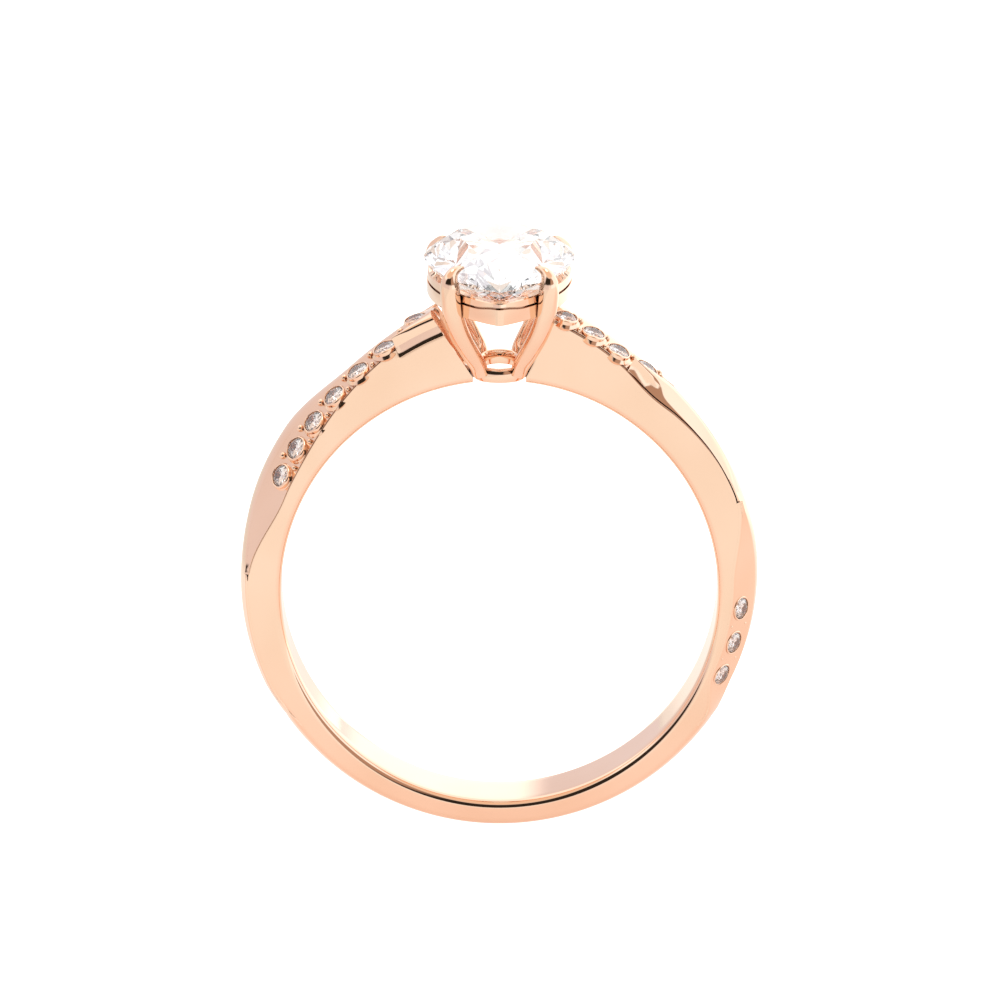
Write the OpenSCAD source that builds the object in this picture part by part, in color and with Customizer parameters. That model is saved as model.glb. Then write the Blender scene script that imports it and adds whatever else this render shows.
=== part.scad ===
// Engagement ring: a pear-cut stone in a four-prong head on a twisted shank. On each shoulder
// a stone-set ribbon crosses over a plain one, and further down the plain one crosses over it.
// Origin: centre of the finger bore. +Z points to the centre stone, Y runs along the finger.
// The right shoulder is worked out in polar form, with its angle counted from the top of the
// ring; the left shoulder is the same construction turned half a turn about Z.

/* [Band] */
// Inside diameter of the finger bore
bore_d = 16.5; // [16.2:0.1:16.8]
// Width of the band along the finger
band_w = 2.84; // [2.7:0.02:3]
// Thickness of the metal at the foot of the ring
foot_wall = 1.17; // [1.05:0.01:1.3]
// Extra thickness of the metal at the sides
side_gain = 0.37; // [0.2:0.01:0.5]
// Drop of the band's rounded outer face from its middle to its edges
crown_drop = 0.34; // [0.2:0.01:0.45]
// Rounding of the bore's two edges
comfort = 0.3; // [0.15:0.01:0.35]

/* [Shoulders] */
// Rise of the shoulders towards the head
rise = 1.55; // [1.2:0.05:1.7]
// Angle over which the rise dies away
rise_spread = 24; // [20:1:28]
// Angle of the first ribbon crossing on the right shoulder
cross_right = 35.5; // [34:0.5:37]
// Angle of the first ribbon crossing on the left shoulder
cross_left = 15.5; // [14.5:0.5:17]
// Angle of the second ribbon crossing on both shoulders
cross_low = 77; // [72:1:82]
// Height of the ribbons above their bed
ribbon_h = 0.65; // [0.63:0.01:0.75]
// How much lower the plain ribbon runs where it lies behind the stone-set one near the head
sink = 0.32; // [0.2:0.01:0.34]
// Width of the plain ribbon
plain_w = 1.64; // [1.4:0.02:1.7]

/* [Small stones] */
// Diameter of a small round stone
small_d = 0.8; // [0.7:0.02:0.9]
// Angular pitch of the small stones
small_pitch = 7.4; // [7:0.1:8]

/* [Centre stone] */
// Width of the pear-cut stone
gem_w = 5.7; // [5.5:0.1:5.9]
// Length of the pear-cut stone from its round end to its point
gem_l = 8.3; // [8.1:0.1:8.5]
// Height of the girdle above the bore's centre
girdle_z = 12.5; // [12.4:0.05:12.6]
// Height of the crown
gem_crown = 0.95; // [0.7:0.05:1]
// Depth of the pavilion
gem_pavilion = 2.3; // [2.1:0.05:2.4]

/* [Head] */
// Height of the gallery rail
rail_h = 0.87; // [0.6:0.01:0.9]
// Thickness of the gallery rail
rail_t = 0.4; // [0.3:0.01:0.42]
// Diameter of a prong
prong_d = 0.78; // [0.65:0.01:0.85]
// Half width of the base ring across the band
base_half_x = 1; // [0.95:0.01:1.05]
// Half length of the base ring along the finger
base_half_y = 1.6; // [1.5:0.05:1.7]

/* [Hidden] */

$fn = 64;
gold = [0.93, 0.66, 0.53];
diamond = [0.92, 0.95, 1.0];

bore_r = bore_d / 2;
half_w = band_w / 2;
foot_r = bore_r + foot_wall;
cut = 0.02;               // overrun of a cutting tool past a face
gap_deg = 10;             // where the ribbons start, before the head's opening trims them
tail_deg = 122;           // where the ribbons end in the plain band
fade_from = 112;          // the ribbons' bed fades into the rounded band from here
fade_over = 11;
cross_half = 8;           // half length of the first crossing, in degrees
cross_low_half = 11;      // half length of the second crossing
step_deg = 2.5;
plain_crown = 0.2;        // drop of the plain ribbon's face towards its edges
plain_shift = half_w - plain_w / 2;
set_w = band_w - plain_w;
set_shift = half_w - set_w / 2;
pave_edge = 0.08;         // drop of the set ribbon below the band's height beside the plain one
pave_lip = 0.06;          // height of the set ribbon's outer edge above its bed
min_strip = 0.12;         // narrowest width at which a ribbon is still made
thin = 0.03;              // least height of a ribbon above its bed
between = 50;             // an angle between the first crossing and the second
sink_fade = 20;           // a sunk plain ribbon comes up again over this many degrees
sunk_left = 34;           // on the left shoulder it starts to come up here
seat_shift = 0.12;        // small stones sit this much nearer to the band's wall than to the middle
gap_half = base_half_x;   // half width of the opening for the head, at the bore
slot_top = bore_r + 0.2;  // the opening is straight up to here and flares above
flare_right = 0.5;        // sideways run of the opening's face per mm of height
flare_left = 0.66;

function smooth(t) = t <= 0 ? 0 : t >= 1 ? 1 : t * t * (3 - 2 * t);
function mix(a, b, t) = a + (b - a) * t;

// ---- polar form of a shoulder ----
function outer_r(a) = foot_r + side_gain * (1 + cos(a)) + rise * exp(-pow(a / rise_spread, 1.6));
function fade(a) = smooth((a - fade_from) / fade_over);
// +1 where the plain ribbon lies at +Y on the right shoulder, -1 where it lies at -Y
function plain_side(a, first) =
    1 - 2 * smooth((a - first + cross_half) / (2 * cross_half))
    + 2 * smooth((a - cross_low + cross_low_half) / (2 * cross_low_half));
// slope of the bed: it falls towards the stone-set ribbon further down the shoulder
function bed_slope(a) = mix(-0.15, 0.26, smooth((a - 20) / 40));
function bed_r(a, y, u) =
    outer_r(a) - (1 - fade(a)) * (ribbon_h - bed_slope(a) * u * y)
    - fade(a) * crown_drop * pow(y / half_w, 2);
// point of a section at angle a: along the finger y, out from the bore's centre r
function polar(a, y, r) = [r * sin(a), y, r * cos(a)];

// ---- skin over a list of closed sections, all with the same number of points ----
module skin(sections, closed = false) {
    n = len(sections[0]);
    m = len(sections);
    last = closed ? m - 1 : m - 2;
    points = [for (s = sections) each s];
    sides = [for (j = [0:last], i = [0:n - 1])
        let (k = (j + 1) % m, i2 = (i + 1) % n)
        each [[j * n + i, k * n + i, j * n + i2], [j * n + i2, k * n + i, k * n + i2]]];
    ends = closed ? [] : [[for (i = [0:n - 1]) i], [for (i = [n - 1:-1:0]) (m - 1) * n + i]];
    polyhedron(points, concat(sides, ends));
}

// ---- band ----
function side_of(a) = a >= 0 ? plain_side(a, cross_right) : -plain_side(-a, cross_left);
crown_ys = [for (t = [1:-0.25:-1]) t * half_w];
spare = 0.4;              // depth of metal inside the bore, before the bore is cut
module shank_body() {
    flat = half_w - comfort - spare;
    skin([for (a = [180:-step_deg:-180 + step_deg])
        let (u = side_of(a), d = abs(a))
        concat([polar(a, -half_w, bore_r + comfort), polar(a, -flat, bore_r - spare),
            polar(a, flat, bore_r - spare), polar(a, half_w, bore_r + comfort)],
            [for (y = crown_ys) polar(a, y, bed_r(d, y, u))])], closed = true);
}

// one half of the opening in the band that the head drops into
module trim_flare(flare) {
    up = outer_r(0) - slot_top;
    rotate([90, 0, 0])
        linear_extrude(band_w + 2, center = true)
            polygon([[-cut, 0], [gap_half, 0], [gap_half, slot_top], [gap_half + flare * up, slot_top + up],
                [-cut, slot_top + up]]);
}
module head_opening() {
    trim_flare(flare_right);
    mirror([1, 0, 0]) trim_flare(flare_left);
}

module bore() {
    rotate([90, 0, 0])
        cylinder(h = band_w + 2, r = bore_r, center = true, $fn = 128);
}

module shank() {
    color(gold)
        difference() {
            shank_body();
            bore();
            head_opening();
        }
}

// ---- ribbons of the right shoulder ----
function ribbon_angles(a0, a1) =
    let (n = ceil((a1 - a0) / step_deg)) [for (i = [0:n]) mix(a0, a1, i / n)];

// A ribbon runs between two edges, [towards -Y, towards +Y], at angle a and side u.
function width(e) = e[1] - e[0];
function plain_mid(u) = u * plain_shift;
function set_mid(u) = -u * set_shift;
// at the first crossing the set ribbon is whole, and the plain one shows on both sides of it
function plain_upper_edges(a, u) = [set_mid(u) + set_w / 2, half_w];
function plain_lower_edges(a, u) =
    a < between ? [-half_w, set_mid(u) - set_w / 2] : [plain_mid(u) - plain_w / 2, plain_mid(u) + plain_w / 2];
// at the second crossing the plain ribbon is whole
function set_upper_edges(a, u) =
    a < between ? [set_mid(u) - set_w / 2, set_mid(u) + set_w / 2] : [plain_mid(u) + plain_w / 2, half_w];
function set_lower_edges(a, u) = [-half_w, plain_mid(u) - plain_w / 2];

// radius of a plain ribbon's cushioned face; the ribbon is sunk up to the angle "sunk_to"
function plain_r(a, y, e, sunk_to) =
    let (t = (2 * y - e[0] - e[1]) / width(e), drop = plain_crown * min(1, width(e) / plain_w))
    outer_r(a) - sink * (1 - smooth((a - sunk_to) / sink_fade))
    - (1 - fade(a)) * drop * t * t - fade(a) * crown_drop * pow(y / half_w, 2);

// a set ribbon leans to the band's wall on this side; at the first crossing it levels out
function lean_side(a, u, lower) = lower ? -1 : a < between && u > 0 ? -1 : 1;
function lean(a, u) = a < between ? abs(u) : 1;
function set_r(a, y, u, e, lower) =
    let (side = lean_side(a, u, lower),
        from_inner = (side > 0 ? y - e[0] : e[1] - y) / width(e),
        wall_depth = ribbon_h - bed_slope(a) * u * side * half_w - pave_lip - thin)
    outer_r(a) - (1 - fade(a)) * mix(pave_edge, wall_depth, from_inner * lean(a, u))
    - fade(a) * (crown_drop * pow(y / half_w, 2) - thin);

// skin of a ribbon from its bed up to its face, over the angles where it is wide enough
bed_ts = [0, 0.33, 0.67, 1];
module ribbon(angles, sides, edges, face_ts, face) {
    skin([for (i = [0:len(angles) - 1])
        let (a = angles[i], u = sides[i], e = edges[i])
        if (width(e) > min_strip)
            concat([for (t = bed_ts) let (y = mix(e[0], e[1], t)) polar(a, y, bed_r(a, y, u))],
                [for (k = [0:len(face_ts) - 1]) polar(a, mix(e[0], e[1], face_ts[k]), face[i][k])])]);
}

plain_ts = [1, 0.9, 0.7, 0.5, 0.3, 0.1, 0];
module plain_ribbon(first, flare, lower, sunk_to = -sink_fade) {
    angles = lower ? ribbon_angles(gap_deg, tail_deg - 2) : ribbon_angles(gap_deg, between);
    sides = [for (a = angles) plain_side(a, first)];
    edges = [for (i = [0:len(angles) - 1])
        lower ? plain_lower_edges(angles[i], sides[i]) : plain_upper_edges(angles[i], sides[i])];
    color(gold)
        difference() {
            ribbon(angles, sides, edges, plain_ts,
                [for (i = [0:len(angles) - 1]) [for (t = plain_ts)
                    plain_r(angles[i], mix(edges[i][0], edges[i][1], t), edges[i], sunk_to)]]);
            trim_flare(flare);
        }
}

set_ts = [1, 0.5, 0];
module set_ribbon(first, lower) {
    angles = lower ? ribbon_angles(between, tail_deg - 3) : ribbon_angles(gap_deg, cross_low + cross_low_half);
    sides = [for (a = angles) plain_side(a, first)];
    edges = [for (i = [0:len(angles) - 1])
        lower ? set_lower_edges(angles[i], sides[i]) : set_upper_edges(angles[i], sides[i])];
    ribbon(angles, sides, edges, set_ts,
        [for (i = [0:len(angles) - 1]) [for (t = set_ts)
            set_r(angles[i], mix(edges[i][0], edges[i][1], t), sides[i], edges[i], lower)]]);
}

// ---- small stones ----
// angles of the stones of the set ribbons, on their upper and lower parts
right_upper = concat([13.2, 19.4, 25.6], [for (i = [0:4]) 33 + small_pitch * i]);
left_upper = concat([16.8], [for (i = [0:5]) 24.5 + small_pitch * i]);
low_row = [for (i = [0:2]) 94.6 + 8.6 * i];
// each entry: angle, whether it is on the lower part
function marked(list, lower) = [for (a = list) [a, lower]];
right_set = concat(marked(right_upper, false), marked(low_row, true));
left_set = concat(marked(left_upper, false), marked(low_row, true));

stone_crown = small_d * 0.13;
stone_pavilion = small_d * 0.37;
stone_girdle = small_d * 0.03;
seat_sides = 12;
seat_gap = 0.02;          // clearance round a stone in its seat

// moves its children to a stone's place, with the stone's axis square to the set ribbon
module at_seat(first, a, lower) {
    u = plain_side(a, first);
    e = lower ? set_lower_edges(a, u) : set_upper_edges(a, u);
    side = lean_side(a, u, lower);
    y = (e[0] + e[1]) / 2 + side * lean(a, u) * seat_shift;
    tilt = atan((set_r(a, e[0], u, e, lower) - set_r(a, e[1], u, e, lower)) / width(e));
    rotate([0, a, 0])
        translate([0, y, set_r(a, y, u, e, lower)])
            rotate([-tilt, 0, 0])
                children();
}

module seat_tool() {
    r = small_d / 2 + seat_gap;
    translate([0, 0, -stone_pavilion - seat_gap])
        cylinder(h = stone_pavilion + seat_gap, r1 = 2 * seat_gap, r2 = r, $fn = seat_sides);
    translate([0, 0, -cut])
        cylinder(h = 1, r = r, $fn = seat_sides);
}

module stone_set_ribbon(first, flare, lower, seats) {
    color(gold)
        difference() {
            set_ribbon(first, lower);
            for (a = seats) at_seat(first, a, lower) seat_tool();
            if (!lower) trim_flare(flare);
        }
}

// ---- brilliant cut: out holds 16 girdle points; table, star and low are fractions of it ----
module brilliant(out, centre, crown, girdle, pavilion, table, star, low) {
    top = [for (i = [0:7]) mix_pt(centre, out[2 * i], table, crown)];
    kite = [for (i = [0:7]) mix_pt(centre, out[2 * i + 1], star, crown * 0.62)];
    upper = [for (k = [0:15]) mix_pt(centre, out[k], 1, girdle / 2)];
    lower = [for (k = [0:15]) mix_pt(centre, out[k], 1, -girdle / 2)];
    keel = [for (i = [0:7]) mix_pt(centre, out[2 * i + 1], low, -girdle / 2 - pavilion * 0.8)];
    culet = [[centre[0], centre[1], -girdle / 2 - pavilion]];
    points = concat(top, kite, upper, lower, keel, culet);
    ti = 0;
    ki = 8;
    ui = 16;
    li = 32;
    pi = 48;
    ci = 56;
    faces = concat(
        [[for (i = [7:-1:0]) ti + i]],
        [for (i = [0:7]) let (n = (i + 1) % 8) [ti + i, ti + n, ki + i]],
        [for (i = [0:7]) let (p = (i + 7) % 8) each
            [[ti + i, ki + i, ui + 2 * i], [ti + i, ui + 2 * i, ki + p]]],
        [for (i = [0:7]) let (n = (i + 1) % 8) each
            [[ki + i, ui + 2 * i + 1, ui + 2 * i], [ki + i, ui + 2 * n, ui + 2 * i + 1]]],
        [for (k = [0:15]) let (n = (k + 1) % 16) each
            [[ui + k, ui + n, li + k], [ui + n, li + n, li + k]]],
        [for (i = [0:7]) let (n = (i + 1) % 8) each
            [[pi + i, li + 2 * i, li + 2 * i + 1], [pi + i, li + 2 * i + 1, li + 2 * n]]],
        [for (i = [0:7]) let (p = (i + 7) % 8) each
            [[ci, pi + p, li + 2 * i], [ci, li + 2 * i, pi + i]]]);
    polyhedron(points, faces);
}
function mix_pt(c, p, k, z) = [mix(c[0], p[0], k), mix(c[1], p[1], k), z];

round_outline = [for (k = [0:15]) small_d / 2 * [sin(22.5 * k), cos(22.5 * k)]];
module small_stone() {
    color(diamond)
        brilliant(round_outline, [0, 0], stone_crown, stone_girdle, stone_pavilion - stone_girdle,
            0.56, 0.78, 0.25);
}

module stone_of(list, first, i) {
    at_seat(first, list[i - 1][0], list[i - 1][1]) small_stone();
}

// ---- pear outline: a round end about [0, end_y] and two long arcs that meet in the point ----
round_r = gem_w / 2;
end_y = gem_l / 2 - round_r;
point_run = gem_l - round_r;
arc_r = (point_run * point_run + round_r * round_r) / (2 * round_r);
arc_x = arc_r - round_r;

module pear(grow = 0) {
    translate([0, end_y])
        intersection() {
            circle(r = round_r + grow);
            translate([-gem_w, 0]) square([2 * gem_w, gem_w]);
        }
    intersection() {
        translate([-arc_x, end_y]) circle(r = arc_r + grow, $fn = 128);
        translate([arc_x, end_y]) circle(r = arc_r + grow, $fn = 128);
        translate([-gem_w, -gem_l]) square([2 * gem_w, gem_l + end_y]);
    }
}

// girdle points of the pear, evenly turned about its middle
function pear_half_x(y, grow = 0) =
    y >= end_y ? sqrt(max(0, pow(round_r + grow, 2) - pow(y - end_y, 2)))
        : sqrt(pow(arc_r + grow, 2) - pow(y - end_y, 2)) - arc_x;
function pear_point(k) =
    let (q = 22.5 * k, y = q <= 180 ? pear_y(q) : pear_y(360 - q))
    [(q <= 180 ? 1 : -1) * pear_half_x(y), y];
function pear_y(q) = q <= 90 ? end_y + round_r * cos(q) : end_y - point_run * (1 - sin(q));
pear_outline = [for (k = [0:15]) pear_point(k)];
culet_y = end_y - 0.7;

module pear_gem() {
    translate([0, 0, girdle_z])
        brilliant(pear_outline, [0, culet_y], gem_crown, 0.08, gem_pavilion, 0.56, 0.8, 0.22);
}

module centre_stone() {
    color(diamond) pear_gem();
}

// ---- head ----
rail_top = girdle_z - 0.5;
rail_out = -0.1;
module rail_solid() {
    translate([0, 0, rail_top - rail_h])
        linear_extrude(rail_h)
            difference() {
                pear(rail_out);
                pear(rail_out - rail_t);
            }
}
module gallery_rail() {
    color(gold) rail_solid();
}

base_h = 0.55;
base_t = 0.42;
module slot_plan(rx, ry) {
    for (s = [-1, 1]) translate([0, s * (ry - rx)]) circle(r = rx);
    square([2 * rx, 2 * (ry - rx)], center = true);
}
module base_solid() {
    difference() {
        translate([0, 0, bore_r - 0.1])
            linear_extrude(base_h + 0.1)
                difference() {
                    slot_plan(base_half_x - 0.01, base_half_y);
                    slot_plan(base_half_x - base_t, base_half_y - base_t);
                }
        bore();
    }
}
module base_ring() {
    color(gold) base_solid();
}

// prong centre lines, from the base ring to the tip on the crown: [x, y, z, thickness]
front_path = [[0.72, -1.3, 8.6, 0.8], [0.84, -1.5, 9, 0.85], [1.14, -1.88, 9.6, 0.9],
    [1.5, -2.26, 10.4, 0.95], [1.74, -2.5, 11.2, 1], [1.84, -2.6, 12, 1], [1.86, -2.62, 12.42, 0.98],
    [1.84, -2.6, 12.6, 0.9], [1.75, -2.51, 12.79, 0.68], [1.6, -2.38, 12.9, 0.44],
    [1.44, -2.26, 12.94, 0.24], [1.35, -2.19, 12.94, 0.12]];
back_path = [[0.72, 1.3, 8.6, 0.8], [0.84, 1.5, 8.95, 0.85], [1.24, 1.98, 9.6, 0.9],
    [1.76, 2.5, 10.4, 0.95], [2.18, 2.92, 11.2, 1], [2.4, 3.14, 12, 1], [2.4, 3.13, 12.3, 0.84],
    [2.32, 3.04, 12.54, 0.52], [2.2, 2.9, 12.72, 0.32], [2.1, 2.79, 12.8, 0.2],
    [2.02, 2.72, 12.83, 0.1]];

function unit(v) = v / norm(v);
function xyz(p) = [p[0], p[1], p[2]];
function path_dir(p, i) = unit(xyz(p[min(i + 1, len(p) - 1)]) - xyz(p[max(i - 1, 0)]));
prong_sides = 12;
module prong_solid(path, side) {
    p = [for (q = path) [side * q[0], q[1], q[2], q[3]]];
    skin([for (i = [len(p) - 1:-1:0])
        let (d = path_dir(p, i), u = unit(cross(d, [1, 0, 0])), v = cross(d, u))
        [for (k = [0:prong_sides - 1])
            let (q = 360 * k / prong_sides)
            xyz(p[i]) + prong_d / 2 * p[i][3] * (cos(q) * u + sin(q) * v)]]);
}
module prong(path, side) {
    color(gold)
        difference() {
            prong_solid(path, side);
            pear_gem();
            rail_solid();
            base_solid();
        }
}

module left_shoulder() {
    rotate([0, 0, 180]) children();
}

shank();
plain_ribbon(cross_right, flare_right, false, between);  // plain_ribbon_upper_right
plain_ribbon(cross_right, flare_right, true);  // plain_ribbon_lower_right
left_shoulder() plain_ribbon(cross_left, flare_left, false);  // plain_ribbon_upper_left
left_shoulder() plain_ribbon(cross_left, flare_left, true, sunk_left);  // plain_ribbon_lower_left
stone_set_ribbon(cross_right, flare_right, false, right_upper);  // set_ribbon_upper_right
stone_set_ribbon(cross_right, flare_right, true, low_row);  // set_ribbon_lower_right
left_shoulder() stone_set_ribbon(cross_left, flare_left, false, left_upper);  // set_ribbon_upper_left
left_shoulder() stone_set_ribbon(cross_left, flare_left, true, low_row);  // set_ribbon_lower_left
base_ring();
gallery_rail();
centre_stone();
prong(front_path, -1);  // prong_front_left
prong(front_path, 1);  // prong_front_right
prong(back_path, -1);  // prong_back_left
prong(back_path, 1);  // prong_back_right
for (i = [1:len(right_set)])
    stone_of(right_set, cross_right, i);
for (i = [1:len(left_set)])
    left_shoulder() stone_of(left_set, cross_left, i);
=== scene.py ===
"""Engagement ring: polished rose gold, pear-cut centre stone, two ribbons twisted over each shoulder.

Shapes are worked out in millimetres in the ring's own frame: the origin is the centre of the finger
bore, +Z points to the centre stone and Y runs along the finger. Angles on the band are counted in
degrees from the top of the ring. The left shoulder is the right one turned half a turn about Z.
"""
import math

import bmesh
import bpy
from mathutils import Matrix, Vector


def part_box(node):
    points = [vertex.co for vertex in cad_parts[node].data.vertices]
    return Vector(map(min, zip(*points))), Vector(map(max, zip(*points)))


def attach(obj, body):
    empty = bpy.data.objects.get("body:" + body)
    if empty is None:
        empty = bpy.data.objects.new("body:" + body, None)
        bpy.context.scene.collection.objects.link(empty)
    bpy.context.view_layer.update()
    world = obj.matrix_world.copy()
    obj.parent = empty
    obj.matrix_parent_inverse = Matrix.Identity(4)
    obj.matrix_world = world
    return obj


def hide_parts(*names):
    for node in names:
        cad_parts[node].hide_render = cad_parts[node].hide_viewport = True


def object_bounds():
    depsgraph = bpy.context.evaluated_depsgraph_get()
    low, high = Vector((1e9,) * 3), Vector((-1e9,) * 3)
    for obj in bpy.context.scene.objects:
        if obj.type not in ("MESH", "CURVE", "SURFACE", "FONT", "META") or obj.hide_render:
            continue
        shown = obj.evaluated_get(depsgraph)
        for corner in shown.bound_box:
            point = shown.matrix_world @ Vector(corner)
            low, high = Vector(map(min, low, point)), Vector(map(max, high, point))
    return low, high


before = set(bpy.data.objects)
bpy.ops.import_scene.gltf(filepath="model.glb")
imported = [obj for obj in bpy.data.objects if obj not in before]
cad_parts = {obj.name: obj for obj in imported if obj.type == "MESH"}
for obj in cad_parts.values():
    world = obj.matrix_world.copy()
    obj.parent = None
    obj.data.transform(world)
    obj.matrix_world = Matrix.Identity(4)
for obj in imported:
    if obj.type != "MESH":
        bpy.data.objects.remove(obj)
CAD_BOX = [[float(c) for c in corner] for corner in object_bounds()]
MM = 0.001

# ---- sizes of the design, in mm, and angles in degrees ----
# the band
BORE_R = 8.25
HALF_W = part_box("shank")[1].y / MM
FOOT_R = BORE_R + 1.17    # outer radius at the foot
SIDE_GAIN = 0.37          # what the outer radius gains from the foot to the side of the ring
CROWN_DROP = 0.34         # how far the foot's outer face falls from its middle to its edges
COMFORT = 0.3             # rounding of the bore's edges
RISE = 1.55               # what the shoulders gain at the head
RISE_SPREAD = 24.0
GAP_HALF = 1.0            # half the opening that the head drops into
SLOT_TOP = BORE_R + 0.2   # height from which the opening flares
FLARE = {"right": 0.5, "left": 0.66}   # what the opening gains on each side per mm of height
TURN = {"right": 0.0, "left": 180.0}   # how far each shoulder is turned about the vertical axis

# where the two ribbons cross, and over what half span
CROSS = {"right": 35.5, "left": 15.5}
CROSS_HALF = 8.0
CROSS_LOW = 77.0
CROSS_LOW_HALF = 11.0
BETWEEN = 50.0            # an angle between the two crossings
FADE_FROM = 112.0         # the ribbons flatten into the band from here
FADE_OVER = 11.0
RIBBON_END = 125          # the lower ribbons have dived into the band before this angle

# the ribbons' widths, middles and faces
RIBBON_H = 0.65
PLAIN_W = 1.64
PLAIN_SHIFT = HALF_W - PLAIN_W / 2
SET_W = 2 * HALF_W - PLAIN_W
SET_SHIFT = HALF_W - SET_W / 2
PLAIN_CROWN = 0.2         # how far a plain ribbon's cushioned face falls to its edges
CORNER = 0.16             # rounding of a plain ribbon's edges
PAVE_EDGE = 0.08          # how far a stone-set face lies below the outer radius at its inner edge
PAVE_LIP = 0.06           # height of a stone-set face over its bed at the wall, less THIN
THIN = 0.03
SINK = 0.32               # how deep a plain ribbon is sunk, up to the angle SUNK_TO
SINK_FADE = 20.0
SUNK_TO = {("upper", "right"): BETWEEN, ("lower", "left"): 34.0}
APRON = {("upper", "left"): 0.16}    # ribbons with a lip down the band's wall, and how far it hangs
SLANT = {("lower", "right"): 0.45}   # ribbons with a slanted front foot, and how steeply it slants

# the small stones' seats, as angles from the top of the ring
SMALL_D = 0.8
SMALL_PITCH = 7.4
LOW_ROW = [94.6 + 8.6 * i for i in range(3)]
SEAT_SHIFT = 0.12
SEATS = {
    ("upper", "right"): [13.2, 19.4, 25.6] + [33 + SMALL_PITCH * i for i in range(5)],
    ("lower", "right"): LOW_ROW,
    ("upper", "left"): [16.8] + [24.5 + SMALL_PITCH * i for i in range(6)],
    ("lower", "left"): LOW_ROW,
}

# the centre stone: half a circle at the round end, and two long arcs to the point
GIRDLE_Z = 12.5
GEM_W = 5.7
GEM_L = 8.3
GEM_CROWN = 0.95
GEM_PAVILION = 2.3
GEM_GIRDLE = 0.04
ROUND_R = GEM_W / 2
END_Y = GEM_L / 2 - ROUND_R
POINT_RUN = GEM_L - ROUND_R
ARC_R = (POINT_RUN ** 2 + ROUND_R ** 2) / (2 * ROUND_R)
ARC_X = ARC_R - ROUND_R
CULET_Y = END_Y - 0.7


# ---- curves shared by the band's pieces ----
def smooth(t):
    t = min(1.0, max(0.0, t))
    return t * t * (3 - 2 * t)


def mix(a, b, t):
    return a + (b - a) * t


def outer_r(a):
    rise = RISE * math.exp(-(abs(a) / RISE_SPREAD) ** 1.6)
    return FOOT_R + SIDE_GAIN * (1 + math.cos(math.radians(a))) + rise


def fade(a):
    return smooth((a - FADE_FROM) / FADE_OVER)


def plain_side(a, shoulder):
    """+1 where the plain ribbon lies at +Y of the right shoulder, -1 where it lies at -Y."""
    first = smooth((a - CROSS[shoulder] + CROSS_HALF) / (2 * CROSS_HALF))
    second = smooth((a - CROSS_LOW + CROSS_LOW_HALF) / (2 * CROSS_LOW_HALF))
    return 1 - 2 * first + 2 * second


def bed_slope(a):
    return mix(-0.15, 0.26, smooth((a - 20) / 40))


def bed_r(a, y, u):
    """Radius of the surface that the ribbons lie on."""
    down = (1 - fade(a)) * (RIBBON_H - bed_slope(a) * u * y)
    return outer_r(a) - down - fade(a) * CROWN_DROP * (y / HALF_W) ** 2


def plain_edges(a, u, part):
    """Where a plain ribbon runs, from its -Y edge to its +Y edge."""
    set_mid = -u * SET_SHIFT
    if part == "upper":
        return set_mid + SET_W / 2, HALF_W
    if a < BETWEEN:
        return -HALF_W, set_mid - SET_W / 2
    return u * PLAIN_SHIFT - PLAIN_W / 2, u * PLAIN_SHIFT + PLAIN_W / 2


def set_edges(a, u, part):
    """Where a stone-set ribbon runs: whole at the first crossing, covered at the second."""
    if part == "lower":
        return -HALF_W, u * PLAIN_SHIFT - PLAIN_W / 2
    if a < BETWEEN:
        return -u * SET_SHIFT - SET_W / 2, -u * SET_SHIFT + SET_W / 2
    return u * PLAIN_SHIFT + PLAIN_W / 2, HALF_W


def plain_r(a, y, low, high, sunk_to):
    """Radius of a plain ribbon's cushioned face; the ribbon is sunk up to the angle sunk_to."""
    wide = max(0.06, high - low)
    t = (2 * y - low - high) / wide
    drop = PLAIN_CROWN * min(1.0, wide / PLAIN_W)
    sunk = SINK * (1 - smooth((a - sunk_to) / SINK_FADE))
    return (outer_r(a) - sunk - (1 - fade(a)) * drop * t * t
            - fade(a) * CROWN_DROP * (y / HALF_W) ** 2)


def undercut(a, wall):
    """How far a ribbon's foot is set back under its edge."""
    if abs(wall) < HALF_W - 0.01:
        return 0.05
    return 0.16 * (1 - smooth((a - 45) / 40))


def dive(a):
    """How far a ribbon's end sinks into the band, so that the two run together."""
    return 0.1 * smooth((a - 120) / 4)


def lean_side(a, u, part):
    """The side, +1 or -1, to which a stone-set ribbon slopes down to the band's wall."""
    return -1 if part == "lower" or (a < BETWEEN and u > 0) else 1


def lean(a, u, part):
    return abs(u) if part == "upper" and a < BETWEEN else 1.0


def set_r(a, y, u, low, high, part):
    """Radius of a stone-set ribbon's face."""
    side = lean_side(a, u, part)
    from_inner = ((y - low) if side > 0 else (high - y)) / max(0.06, high - low)
    wall_depth = RIBBON_H - bed_slope(a) * u * side * HALF_W - PAVE_LIP - THIN
    return (outer_r(a) - (1 - fade(a)) * mix(PAVE_EDGE, wall_depth, from_inner * lean(a, u, part))
            - fade(a) * (CROWN_DROP * (y / HALF_W) ** 2 - THIN))


def polar(a, y, r):
    q = math.radians(a)
    return Vector((r * math.sin(q), y, r * math.cos(q)))


def opening_angle(r, shoulder):
    """Angle at which a point at radius r meets the cheek of the head's opening."""
    a = math.asin(min(1.0, GAP_HALF / r))
    for _ in range(12):
        x = GAP_HALF + FLARE[shoulder] * max(0.0, r * math.cos(a) - SLOT_TOP)
        a = math.asin(min(1.0, x / r))
    return math.degrees(a)


# ---- mesh building ----
WELD = 1e-5   # points closer than this, in mm, are made one


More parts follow.
